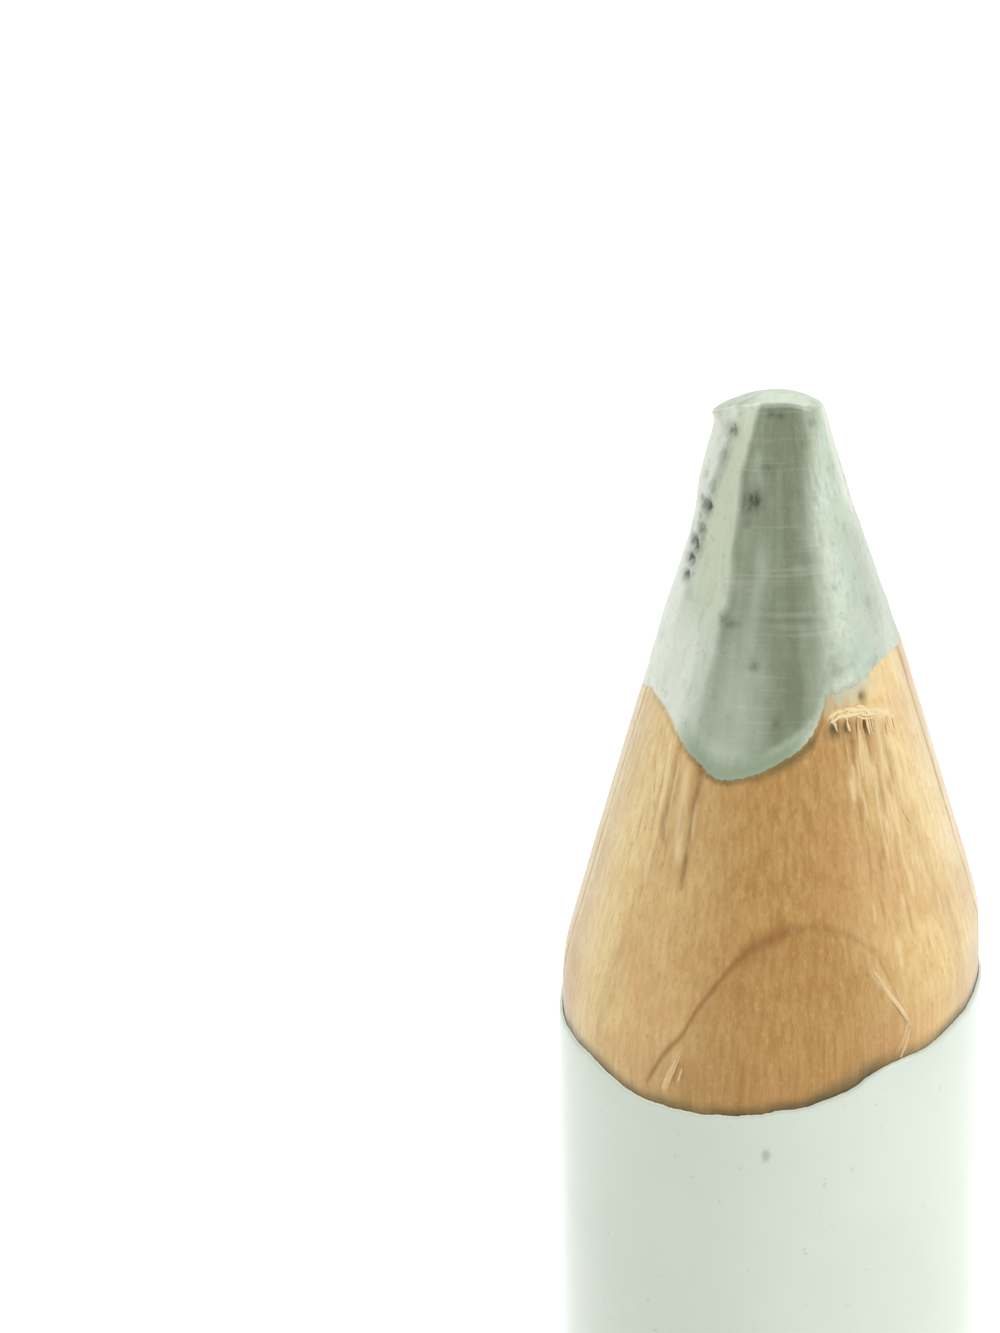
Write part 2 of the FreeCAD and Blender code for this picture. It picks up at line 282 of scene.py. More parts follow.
# Creases and streaks of the core: azimuth about the axis of the cut, and height.
MAIN_CREASE = [
    (-37, 5), (-37, 5.6), (-36, 6.3), (-34, 6.65), (-33, 7.1), (-32, 7.45), (-30, 7.7),
    (-29.5, 8.2), (-31, 8.75), (-31, 9.4), (-33, 9.75), (-34, 10.1), (-31, 10.5),
    (-29, 10.8), (-26, 11.3),
]
LEFT_CREASE = [
    (-60, 5), (-62, 7), (-66, 7.8), (-68, 8.4), (-68, 8.75), (-66, 9.2), (-64, 9.6),
    (-60, 10.2), (-55, 10.7), (-51, 11.3),
]
BAND_RIGHT = [
    (26, 5.3), (27, 6.3), (26, 6.8), (25.5, 7.4), (26, 7.9), (28, 8.4), (25, 9), (28.5, 9.6),
    (31, 10.1), (35, 10.45), (48, 10.85), (60, 11.3),
]
BAND_LEFT = [
    (-56, 7), (-55, 7.6), (-57, 8.1), (-59, 8.75), (-58, 9.4), (-51, 10), (-52, 10.6),
    (-49, 11.3),
]
DARK_STREAK = [
    (0, 5.2), (2, 5.5), (4, 6), (5, 7), (6, 7.8), (7, 8.6), (7, 9.6), (9, 10.5), (6, 11.3),
]
LIGHT_STREAK = [
    (-19, 5.4), (-19, 6.2), (-17, 7), (-14, 7.7), (-11, 8.2), (-12, 8.7), (-15, 9.3),
]
SHORT_STREAK = [(-17, 9.85), (-20, 10.15), (-22, 10.45)]
GREY_STREAK = [(-66, 8.6), (-59, 9.5), (-53, 10.5)]

# Pits and smudges: azimuth, height, half width, half height, depth.
PITS = [
    (-66, 9.2, 0.17, 0.16, 1.05), (-68, 8.76, 0.18, 0.13, 0.8), (-72, 8.43, 0.25, 0.17, 1.15),
    (-72, 8.13, 0.22, 0.12, 1.1), (-71, 7.83, 0.17, 0.12, 0.95), (-74, 9.28, 0.07, 0.09, 0.5),
    (-75, 9.74, 0.08, 0.1, 0.45), (-62, 9.6, 0.07, 0.2, 0.4), (-59, 10.2, 0.09, 0.18, 0.45),
    (-54, 10.72, 0.13, 0.14, 0.7), (-73, 8.95, 0.08, 0.08, 0.6), (-63, 8.6, 0.05, 0.06, 0.4),
    (-75, 8.3, 0.09, 0.08, 0.6), (-63, 7.95, 0.05, 0.05, 0.4),
]
SMUDGES = [
    (-22, 9.53, 0.16, 0.2, 1.1), (-19, 9.44, 0.1, 0.09, 0.5), (-24, 9.18, 0.07, 0.12, 0.45),
    (-10, 10.13, 0.13, 0.09, 0.4), (-33, 7.42, 0.09, 0.11, 0.5), (-26, 7.36, 0.15, 0.08, 0.45),
    (-13, 6.63, 0.11, 0.13, 0.55), (-1, 5.65, 0.07, 0.08, 0.45), (3, 11.05, 0.1, 0.07, 0.6),
    (-9, 11.08, 0.12, 0.06, 0.55), (42, 10.88, 0.1, 0.09, 0.4), (-30, 6.05, 0.06, 0.07, 0.2),
    (61, 7.42, 0.1, 0.15, 0.28),
]


# Rings that the blade scored into the core: one height, distance, middle and spread.
RING_START = 7.3
RING_PITCH = 0.21
RINGS_MIDDLE = 7.48
RINGS_SPREAD = 0.22


def scored_rings(azimuth, height, middle, width):
    """The scored rings as waves from -1 to 1 about one azimuth."""
    waves = np.sin((height - RING_START) * 2 * math.pi / RING_PITCH)
    return waves * hill(height - RINGS_MIDDLE, RINGS_SPREAD) * facing(azimuth, middle, width)


def facet(azimuth, radius, middle, depth, blend):
    """Radius with a flat worn into it, whose middle lies so much below the round."""
    off = np.radians(turned(azimuth, middle))
    widest = 1.2
    near = np.abs(off) < widest
    plane = (radius - depth) / np.cos(np.where(near, off, 0))
    return np.where(near, lower_of(radius, plane, blend), radius)


def crown_height(x, y):
    """Height of the domed tip, flatter on its left, over a point seen from the cut's axis."""
    lean = CROWN_RADIUS * math.sin(CROWN_TILT)
    x = np.where(x < 0, LEFT_FLATNESS * x, x)
    inside = CROWN_RADIUS ** 2 - x ** 2 - (y + lean) ** 2
    return CONE_LENGTH - CROWN_RADIUS + np.sqrt(np.maximum(inside, 0.01))


def worn_core_radius(azimuth, height):
    """Radius of the bare core about the axis of the cut, with its wear."""
    at = (azimuth, height)
    round_radius = cone_radius(height)
    main = path_at(MAIN_CREASE, height)
    worn = smooth(5.05, 6.2, height)
    soft = 0.02 + 0.13 * smooth(-5, 20, azimuth)
    radius = facet(azimuth, round_radius, -3.5, 0.165 * worn, soft)
    side_middle = (main + path_at(LEFT_CREASE, height)) / 2
    radius = facet(azimuth, radius, side_middle, 0.045 * round_radius * worn, 0.02)
    radius += 0.01 * hill(np.radians(turned(azimuth, main)) * radius, 0.05) * worn
    right_wear = np.interp(height, [5.5, 7, 8.9, 10.5, 11.3], [0, 0.05, 0.13, 0.15, 0.12])
    radius -= right_wear * facing(azimuth, 92, 36)
    left_side = np.interp(height, [7, 8.2, 8.9, 9.5, 10.2, 11.3],
                          [0, -0.04, 0, 0.1, 0.12, 0.12])
    radius += left_side * facing(azimuth, -96, 32)
    radius += 0.22 * facing(azimuth, -82, 24) * hill(height - 11, 0.22)
    ragged = 0.8 + 0.6 * fractal(*at, 120, 8, 36)
    for depth, pit in spots(*at, PITS):
        radius -= 0.1 * depth * ragged * pit
    for depth, smudge in spots(*at, SMUDGES):
        radius -= 0.02 * depth * smudge
    crumbled = streak(*at, LEFT_CREASE[2:], 0.1, 0.3)
    radius += 0.035 * crumbled * fractal(*at, 160, 6, 31)
    rough_right = facing(azimuth, 58, 30) * smooth(5.4, 6.6, height)
    radius += 0.016 * fractal(*at, 34, 2.0, 32)
    radius += (0.005 + 0.009 * rough_right) * fractal(*at, 110, 6, 33)
    radius += 0.0035 * grain(*at, 9, 11, 34)
    return radius - 0.007 * scored_rings(*at, 12, 22)


# Cracks of the wood: path of azimuths about the cut and heights, width, depth.
# Splinters the same way, with how pale they are.
GROOVES = [
    ([(-32, 4.85), (-32, 4.34), (-33, 3.89), (-33, 3.15), (-33, 2.45)], 0.085, 0.06),
    ([(-43, 5.15), (-44, 4.55), (-44, 4.05), (-45, 3.55), (-42, 3.15)], 0.07, 0.035),
    ([(-56, 5.2), (-56, 4.6), (-49, 3.6)], 0.035, 0.02),
    ([(31, 5.5), (32, 5.2), (31, 4.8)], 0.045, 0.04),
    ([(41, 5.55), (40, 5.2), (39.5, 4.7)], 0.06, 0.05),
    ([(28, 5.4), (28, 4.9)], 0.03, 0.03),
    ([(49, 5.4), (47.5, 4.6)], 0.04, 0.025),
]
SPLINTERS = [
    ([(-37.5, 4.72), (-37, 4.2), (-36.5, 3.6), (-35.5, 2.95)], 0.08, 0.03, 0.75),
    ([(-48, 5.02), (-46.8, 4.4), (-46, 3.71)], 0.06, 0.025, 0.75),
    ([(-52, 4.7), (-51, 4.1), (-50, 3.5)], 0.05, 0.012, 0.5),
    ([(36, 5.3), (36, 4.8), (35.5, 4.3)], 0.05, 0.02, 0.6),
    ([(45, 5.45), (45, 5), (44, 4.5), (43, 4)], 0.06, 0.025, 0.7),
    ([(53, 5.35), (52, 4.9), (50.5, 4.4)], 0.06, 0.02, 0.6),
    ([(40, 4.5), (39, 4), (38.5, 3.6)], 0.05, 0.015, 0.6),
    ([(47, 4.2), (46.5, 3.7), (46, 3.2)], 0.05, 0.015, 0.6),
    ([(-26.5, -0.4), (-28.5, -0.8), (-30.5, -1.3)], 0.055, 0.012, 0.5),
    ([(27.5, 1.1), (31, 0.7), (35, 0.26), (37.5, -0.1)], 0.065, 0.01, 0.5),
    ([(37.5, -0.05), (35.5, -0.38), (33, -0.64)], 0.05, 0.01, 0.5),
]
# Pits of the wood, written like PITS; those of STAINED_PITS are filled with pigment.
WOOD_PITS = [
    (41, 5.41, 0.1, 0.13, 0.8), (32, 5.19, 0.05, 0.08, 0.5), (36, 5.45, 0.05, 0.1, 0.5),
    (-33, 2.8, 0.06, 0.24, 0.5),
]
STAIN = (41, 5.93)
STAINED_PITS = [
    (24.5, 5.48, 0.15, 0.15, 1), (30, 5.45, 0.1, 0.12, 0.65), (*STAIN, 0.1, 0.11, 0.9),
    (-45, 5.14, 0.06, 0.12, 0.5), (-30.5, 4.66, 0.1, 0.07, 0.5),
]
# The shredded band under the core, and the growth ring's arch: azimuth and height.
SHRED = [(22, 5.7), (27, 5.78), (33, 5.76), (39, 5.68), (46, 5.6), (53, 5.49), (57, 5.38)]
ARCH = [
    (-36, -1.2), (-31, -0.53), (-26, -0.08), (-23, 0.39), (-18, 0.9), (-13, 1.35),
    (-8, 1.66), (-2, 1.86), (4, 2), (12, 2.03), (22, 1.8), (30, 1.36), (34, 0.6),
    (38, -0.3),
]


def random_fibres(azimuth, height):
    """Short fibres of the blade's two rough sides, raised (1) or lost (-1)."""
    dice = np.random.default_rng(53)
    total = np.zeros(azimuth.shape)
    sides = ((43, 15, 1.3, 5.3, 60), (-44, 13, 2.2, 5.0, 20), (175, 40, 3.0, 7.5, 36))
    for side, spread, bottom, top, count in sides:
        for _ in range(count):
            az = side + spread * dice.uniform(-1, 1)
            start = bottom + (top - bottom) * dice.uniform(0, 1) ** 0.6
            long = dice.uniform(0.2, 0.9)
            lean = dice.uniform(-1.5, 1.5)
            path = [(az, start), (az + lean * long, start - long)]
            sign = 1 if dice.uniform() < 0.6 else -0.8
            width = dice.uniform(0.026, 0.05)
            near = (np.abs(turned(azimuth, az)) < 7) & (np.abs(height - start) < 1.3)
            total[near] += sign * streak(azimuth[near], height[near], path, width)
    return np.clip(total, -1, 1)


def wood_marks(azimuth, height):
    """Height of the wood's own marks above the clean cut, and its masks."""
    at = (azimuth, height)
    rise, dark, pale = np.zeros((3, *azimuth.shape))
    for path, width, depth in GROOVES:
        mark = streak(*at, path, width)
        mark *= 0.75 + 0.25 * grain(*at, 200, 4, 41)
        rise -= depth * mark
        # Painted shade in the cracks, darker the deeper they are
        dark = strongest(dark, mark * min(0.68, 0.28 + depth * 7))
    for path, width, gain, paleness in SPLINTERS:
        mark = streak(*at, path, width, 0.2)
        rise += gain * mark
        pale = strongest(pale, paleness * mark)
    for depth, pit in spots(*at, WOOD_PITS):
        rise -= 0.08 * depth * pit
        dark = strongest(dark, depth * pit)
    for depth, pit in spots(*at, STAINED_PITS):
        rise -= 0.06 * depth * pit
    fibres = random_fibres(azimuth, height)
    frayed = fractal(*at, 150, 9, 48)
    shred = band_mark(azimuth, height + 0.05 * frayed, SHRED, 0.11) * (0.85 + 0.3 * frayed)
    area = strongest(facing(azimuth, 43, 17) * smooth(1.2, 3.8, height),
                     facing(azimuth, -44, 15) * smooth(2.2, 3.8, height))
    threads = grain(*at, 330, 0.7, 44)
    above_shred = smooth(5.78, 5.86, height) * facing(azimuth, 41, 15)
    rise += 0.013 * fibres + 0.012 * shred + 0.008 * area * threads
    rise += 0.0035 * grain(*at, 620, 0.9, 45)
    rise += 0.005 * fractal(*at, 40, 1.3, 46)
    rise += 0.0025 * grain(*at, 5, 7, 47)
    # Painted shade in the dents where fibres are lost and between the raised threads
    dark = strongest(dark, -0.42 * fibres, 0.28 * area * smooth(0.3, 0.95, -threads))
    pale = strongest(pale, 0.6 * fibres, shred, 0.45 * area * smooth(0.1, 0.95, threads),
                     0.7 * above_shred)
    arch = band_mark(*at, ARCH, 0.09 + 0.07 * facing(azimuth, -3, 10))
    arch *= 0.42 + 0.58 * smooth(12, -2, azimuth)
    return rise - 0.006 * arch, dark, pale, arch


def heartwood_and_front_shade(azimuth, height):
    """Share of darker wood in front, partly heartwood and partly painted shade on the front, and a
    little behind.
    """
    wander = 8 * fractal(azimuth, height, 12, 0.7, 49)
    front = smooth(56, 10, np.abs(turned(azimuth, 4) + wander))
    behind = 0.55 * smooth(60, 10, np.abs(turned(azimuth, 168) + wander))
    return np.maximum(front, behind)


# Meshes

def grid_faces(rows, columns, closed_rows, closed_columns):
    """Quads between neighbouring points of a grid stored row after row."""
    row = np.arange(rows if closed_rows else rows - 1)[:, None]
    column = np.arange(columns if closed_columns else columns - 1)[None, :]
    next_row, next_column = (row + 1) % rows, (column + 1) % columns
    corners = [row * columns + column, row * columns + next_column,
               next_row * columns + next_column, next_row * columns + column]
    return np.stack(corners, -1).reshape(-1, 4).tolist()


def place_rows(centre, azimuth, radii, heights):
    """Points of a grid from its radii about a centre and its heights above the corner."""
    flat = centre + outwards(azimuth) * radii[..., None]
    return np.concatenate([flat, (heights + CORNER)[..., None]], -1)


def add_object(name, data):
    """An object of the scene for a mesh, a lamp or a camera."""
    item = bpy.data.objects.new(name, data)
    scene.collection.objects.link(item)
    return item


def make_piece(name, points, faces, masks, material, node):
    """Make a mesh piece, which may stand for a CAD node."""
    mesh = bpy.data.meshes.new(name)
    mesh.from_pydata((points.reshape(-1, 3) * MM).tolist(), [], faces)
    for mask, values in masks.items():
        attribute = mesh.attributes.new(mask, "FLOAT", "POINT")
        attribute.data.foreach_set("value", values.ravel().astype(np.float32))
    work = bmesh.new()
    work.from_mesh(mesh)
    bmesh.ops.recalc_face_normals(work, faces=work.faces)
    work.to_mesh(mesh)
    work.free()
    mesh.polygons.foreach_set("use_smooth", [True] * len(mesh.polygons))
    mesh.materials.append(material)
    piece = add_object(name, mesh)
    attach(piece, "root")
    if node:
        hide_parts(node)


def add_pole(points, masks, faces, row, columns, pole):
    """Close a row of a grid with one point and a fan of triangles."""
    index = len(points)
    first = row * columns
    for column in range(columns):
        faces.append([first + column, first + (column + 1) % columns, index])
    points = np.concatenate([points, [pole]])
    masks = {mask: np.append(values, values[first]) for mask, values in masks.items()}
    return points, masks


def round_rows(points, first, end, share, times):
    """Ease the rows of a grid from first up to end towards the mean of their neighbours."""
    for _ in range(times):
        beside = points[first - 1:end - 1] + points[first + 1:end + 1]
        points[first:end] += share * (beside / 4 - points[first:end] / 2)


def make_core(material):
    """The pigment core, closed at the butt and at the worn tip."""
    front_step, back_step = 0.6, 1.6
    front, back = np.arange(-96, 96, front_step), np.arange(96, 264, back_step)
    azimuth = turned(np.concatenate([front, back]), 0)
    columns = len(azimuth)
    edge = core_edge(azimuth)
    sleeve = reach(azimuth, CUT, CORE, CORE_RADIUS - CLEARANCE)
    top = np.full(columns, CONE_LENGTH - 0.3)
    passes = 12
    for _ in range(passes):
        at = outwards(azimuth) * worn_core_radius(azimuth, top)[:, None]
        top = (top + crown_height(at[:, 0], at[:, 1])) / 2
    floor = np.full(columns, -CORNER)
    rows = [(sleeve - inset, floor + height)
            for height, inset in ((0, 0.05), (0.015, 0.015), (0.05, 0), (60, 0), (120, 0))]
    for height in (edge - 0.7, edge - 0.3):
        rows.append((np.minimum(sleeve, cone_radius(height) - 0.16), height))
    starts = [-0.16, -0.11, -0.07, -0.04, -0.01, 0.02, 0.05, 0.08, 0.12, 0.16, 0.2, 0.25]
    start = edge + starts[-1]
    wall_steps = 160
    climb = [edge + above for above in starts]
    climb += [start + (top - start) * step / wall_steps for step in range(1, wall_steps + 1)]
    lip_left = window(azimuth, -75, -60, -12, 2)
    lip_right = window(azimuth, -12, 0, 10, 17)
    for height in climb:
        above = height - edge
        lip = 0.022 * hill(above - 0.12, 0.1) * (0.4 + 0.6 * lip_left)
        lip += 0.032 * hill(above - 0.3, 0.1) * lip_right
        tuck = 0.28 * np.clip((0.045 - above) / 0.2, 0, None) ** 1.4
        rows.append((worn_core_radius(azimuth, height) + lip - tuck, height))
    wall_rows = len(rows)
    rim = rows[-1][0]
    crown_steps = 29
    for share in 1 - np.linspace(0, 1, crown_steps + 1)[1:-1]:
        at = outwards(azimuth) * (rim * share)[:, None]
        dent = 0.012 * noise(at[:, 0] * 4 + 40, at[:, 1] * 4 + 40, NOISE_AROUND, 35)
        dome = crown_height(at[:, 0], at[:, 1]) + dent * smooth(0, 0.2, 1 - share)
        rows.append((rim * share, dome))
    radii, heights = np.array(rows).swapaxes(0, 1)
    points = place_rows(CUT, azimuth, radii, heights)
    behind = smooth(95, 140, np.abs(azimuth))[None, :, None]
    for times, below, above, share in ((5, 7, 5, 1), (60, 26, 9, behind)):
        round_rows(points, wall_rows - below, wall_rows + above, share, times)
    masks = core_masks(azimuth, heights, edge, wall_rows)
    butt = np.array([*CORE, 0.0])
    disc = [butt + (points[0] - butt) * share for share in (0.5, 0.9)]
    points = np.concatenate([disc, points])
    last = len(points) - 1
    faces = grid_faces(len(points), columns, False, True)
    points = points.reshape(-1, 3)
    masks = {mask: np.concatenate([*[values[0]] * len(disc), values.ravel()])
             for mask, values in masks.items()}
    tip = [*CUT, CORNER + float(crown_height(0.0, 0.0))]
    points, masks = add_pole(points, masks, faces, 0, columns, butt)
    points, masks = add_pole(points, masks, faces, last, columns, tip)
    make_piece("worn_core", points, faces, masks, material, "pigment_core")


def core_masks(azimuth, height, edge, wall_rows):
    """Masks for the colour of the core, one value a point."""
    front = smooth(-170, -120, azimuth)
    azimuth = np.broadcast_to(azimuth, height.shape)
    at = (azimuth, height)
    wall = np.zeros(height.shape)
    wall[:wall_rows] = 1
    wall[wall_rows - 2:wall_rows + 1] = 0.6
    above = height - edge

    def off(path):
        return azimuth - path_at(path, height)

    wobble = fractal(*at, 60, 3, 51)
    streaks = grain(*at, 120, 0.35, 52)
    mottled = fractal(*at, 70, 3.5, 53)

    # The worn band between the main crease and its soft right side, painted dark: partly the
    # facet's matt smeared pigment, partly painted shade and the dark reflection that the facet
    # shows
    softness = 12.5 + 4 * smooth(7.2, 6.6, height) + 6 * smooth(10.6, 10.9, height)
    inside = smooth(-4.5, 3.5, off(MAIN_CREASE) + 1.2 * wobble)
    inside *= smooth(softness, -softness, off(BAND_RIGHT) + 2 * wobble)
    light = hill(off(LIGHT_STREAK), 4.5 + 3 * smooth(8, 6.5, height))
    fading = smooth(9.2, 8.5, height) * (0.35 + 0.65 * smooth(6.7, 7.4, height))
    dark = hill(off(DARK_STREAK) - 2 - 1.5 * wobble, 12.5)
    level = 0.8 - 0.26 * smooth(7.5, 6.3, height) - 0.18 * smooth(5.8, 5.0, height)
    level += 0.1 * smooth(9.4, 10.6, height)
    level -= 0.24 * light * fading
    level -= 0.22 * streak(*at, SHORT_STREAK, 0.09)
    level -= 0.25 * smooth(24, 34, azimuth) * smooth(10.4, 10.8, height)
    level += dark * (0.16 + 0.38 * smooth(7.6, 6.2, height))
    band = inside * level * (1 + 0.08 * streaks + 0.1 * mottled)
    # Painted shade low on the band's right side, next to the wood
    low_right_shade = hill(azimuth - 27, 11) * smooth(7.4, 6.2, height) * (1 + 0.15 * mottled)
    band = strongest(band, 0.68 * low_right_shade) * wall * smooth(0.05, 0.45, above)

    # Painted highlight: the lighter strip left of the crease, where the ridge between facets
    # catches the light
    pale = smooth(-6, 4, off(BAND_LEFT) + 2 * wobble) * smooth(3, -4, off(MAIN_CREASE))
    pale *= smooth(6.7, 8.1, height + 0.3 * mottled) * (0.8 + 0.3 * streaks) * wall

    # Darker in the pits, the smudges, the crumbled crease and the grey and low streaks; painted
    # shade in the scored rings' grooves, in a thin line along the rim above the wood and at the
    # torn edge
    ragged = 0.95 + 0.7 * fractal(*at, 150, 10, 55)
    crumbs = smooth(0.0, 0.8, fractal(*at, 130, 5, 54))
    rings = scored_rings(*at, 10, 20)
    low_streaks = smooth(0.1, 0.9, grain(*at, 150, 0.8, 57))
    # Painted shade in a thin line just above the core's edge
    shade = hill(above, 0.035) * (0.45 + 0.4 * smooth(-30, 0, azimuth))
    # Painted shade on the core just above its torn edge on the right
    torn = hill(above - 0.02, 0.13) * facing(azimuth, 26, 8)
    grime_and_shade = strongest(
        0.07 * dark * smooth(7.0, 6.0, height) * (above > 0),
        *(depth * np.clip(pit * ragged, 0, 1) for depth, pit in spots(*at, PITS + SMUDGES)),
        0.55 * streak(*at, LEFT_CREASE[2:], 0.1, 0.35) * crumbs,
        0.16 * streak(*at, GREY_STREAK, 0.07, 0.3),
        # Painted shade in the grooves of the scored rings
        0.16 * np.clip(-rings, 0, 1),
        0.08 * low_streaks * smooth(-34, -44, azimuth) * smooth(8.0, 7.0, height) * front,
        0.7 * shade * smooth(46, 34, azimuth) * (azimuth > -75),
        0.42 * torn * (1 + 0.5 * mottled),
    )

    # The lip over the wood, with painted shade under its ridge and a painted highlight on it, and
    # what lies beside the band, with painted highlights and shade on the sides
    # Painted shade: grey-green on the lip's underside, below its lit ridge
    lip_underside_shade = hill(above - 0.15, 0.22) * window(azimuth, -50, -32, 0, 20)
    # Painted highlight on the lip's ridge and on the crests of the scored rings
    painted_highlight = 0.5 * hill(above - 0.31, 0.065) * window(azimuth, -9, -1, 8, 15)
    painted_highlight = strongest(painted_highlight, 0.35 * np.clip(rings, 0, 1))
    # Painted highlight: paler on the far left, low left and top left, and on one right facet,
    # where those sides catch the light
    far_left = smooth(3, -6, off(LEFT_CREASE))
    low_left = smooth(-40, -52, azimuth) * smooth(7.6, 6.6, height)
    top_left = smooth(-28, -40, azimuth) * smooth(10.6, 10.85, height)
    lit_side_highlight = strongest(far_left, low_left, top_left) * front
    lit_side_highlight = strongest(lit_side_highlight, 0.8 * facing(azimuth, 74, 13)) * wall
    mint = window(azimuth, 26, 38, 58, 70) * smooth(-0.3, 0.6, fractal(*at, 44, 2.4, 56))
    patches = smooth(0.05, 0.6, fractal(*at, 90, 4.5, 58))
    # Painted shade where the right side turns towards its outline
    right_outline_shade = facing(azimuth, 68, 18) * smooth(6.4, 7.2, height)
    dull_and_shade = strongest(
        patches * window(azimuth, 24, 34, 84, 100) * smooth(10.6, 9.6, height),
        # Painted shade low on the right side
        0.55 * smooth(8.0, 6.8, height) * smooth(30, 45, azimuth),
        1.05 * right_outline_shade * smooth(9.2, 8.6, height),
    )
    dull_and_shade = strongest(dull_and_shade * wall, 0.72 * (1 - wall))
    return {"band": np.clip(band, 0, 1), "pale": pale, "grime_and_shade": np.clip(grime_and_shade, 0, 1),
            "lip_underside_shade": lip_underside_shade * wall, "painted_highlight": painted_highlight, "lit_side_highlight": lit_side_highlight, "mint": mint * wall,
            "dull_and_shade": dull_and_shade}


def front_columns():
    """Azimuths of the front half's columns, closest where its fibres stand."""
    columns = 441
    azimuth = np.linspace(-90, 90, 721)
    total = np.cumsum(1 + 1.6 * hill(azimuth - 43, 18) + 1.6 * hill(azimuth + 43, 18))
    return np.interp(np.linspace(total[0], total[-1], columns), total, azimuth)


def make_casing(name, node, azimuth, steps, material):
    """One half of the wooden casing, from the glue plane round to the glue plane."""
    columns = len(azimuth)
    barrel = reach(azimuth, CORE, BARREL, WOOD_RADIUS)

    def cut_surface(height):
        return lower_of(reach(azimuth, CORE, CUT, cone_radius(height)), barrel, WOOD_BLEND)

    def height_of(curve, start):
        height = np.full(columns, start)
        passes = 4
        for _ in range(passes):
            at = CORE + outwards(azimuth) * cut_surface(height)[:, None]
            height = curve(azimuth_of(at, CUT))
        return height

    edge, coat = height_of(core_edge, 6.0), height_of(coat_edge, -1.2)
    floor = np.full(columns, -CORNER)
    groove = np.full(columns, CORE_RADIUS)
    hidden = barrel - CLEARANCE
    rows = [(groove, floor), (groove, floor + 60), (groove, floor + 120)]
    for below, inset in ((1.0, 0.1), (0.12, 0.05)):
        rows.append((np.minimum(groove, cut_surface(edge - below) - inset), edge - below))
    first_shown = len(rows)
    for above in (0.09, 0.06, 0.04, 0.02, 0, -0.02, -0.05, -0.09, -0.14, -0.2):
        sink = 0.008 * hill(above, 0.07) + 0.45 * max(above, 0)
        rows.append((cut_surface(edge + above) - sink, edge + above))
    for share in np.linspace(0, 1, steps)[1:-1] ** 1.25:
        height = (edge - 0.2) * (1 - share) + (coat + 0.14) * share
        rows.append((cut_surface(height), height))
    for above in (0.14, 0.11, 0.08, 0.05, 0.02, -0.02, -0.08):
        sink = CLEARANCE * (1 - smooth(0, 0.12, above))
        rows.append((cut_surface(coat + above) - sink, coat + above))
    end_shown = len(rows)
    rows += [(hidden, height) for height in (coat - 0.3, coat - 6, floor + 60, floor + 0.06)]
    rows += [(barrel - inset, floor + height)
             for height, inset in ((0.02, 0.025), (0, 0.06), (0, 0.5), (0, 1.1))]
    radii, heights = np.array(rows).swapaxes(0, 1)
    at_cut = azimuth_of(place_rows(CORE, azimuth, radii, heights), CUT)
    at = (at_cut, heights)
    shown = np.zeros((len(rows), 1), bool)
    shown[first_shown:end_shown] = True
    above = heights - edge
    to_glue = np.radians(90 - np.abs(turned(azimuth, azimuth.mean()))) * radii
    near_glue = 1 - smooth(0, 0.05, to_glue)
    rise, dark, pale, arch = wood_marks(*at)
    radii += shown * (rise * smooth(0.04, -0.1, above) - 0.018 * near_glue)
    clumps = grain(*at, 70, 3, 61)
    front = window(at_cut, -48, -30, 13, 20)
    heavy = smooth(-12, 2, at_cut) * front
    smear = facing(at_cut, 36, 16) * smooth(-0.38, -0.1, above)
    smear *= 1 - spot(*at, STAIN, 0.14, 0.15)
    smear *= smooth(-0.3, 0.5, fractal(*at, 110, 7, 62) + smear - 0.25)
    rim_share = 0.32 * (at_cut > -70) * (at_cut < 20) + 0.3 * front + 0.3 * heavy
    # Painted shadow: a dark line on the wood under the core's edge, heavier in front; the stained
    # pits hold real pigment
    stain_and_shadow = hill(above + 0.03, 0.055 + 0.055 * heavy) * rim_share * (0.9 + 0.25 * clumps)
    stain_and_shadow = strongest(stain_and_shadow, *(depth * pit for depth, pit in spots(*at, STAINED_PITS)))
    # Painted shadow: a dark line on the wood along the lacquer's edge, where the edge casts its
    # contact shadow
    heavy_rim = facing(at_cut, 20, 9)
    rim = hill(heights - coat - 0.05, 0.14 + 0.13 * heavy_rim)
    rim *= 0.75 + 0.25 * clumps + 0.25 * heavy_rim
    masks = {"dark": dark, "pale": pale, "arch": arch, "stain_and_shadow": stain_and_shadow, "rim": rim,
             # Darker front: partly heartwood, partly painted shade
             "heart_and_shade": heartwood_and_front_shade(*at), "smear": smear,
             # Painted glare: paler wood at both sides
             "side_glare": window(np.abs(at_cut), 46, 80, 104, 130),
             "glue": near_glue * (shown | (heights < floor + 0.03))}
    masks = {mask: np.clip(values, 0, 1) for mask, values in masks.items()}
    points = place_rows(CORE, azimuth, radii, heights)
    faces = grid_faces(len(rows), columns, True, False)
    faces += [[row * columns + end for row in range(len(rows))] for end in (0, columns - 1)]
    make_piece(name, points, faces, masks, material, node)


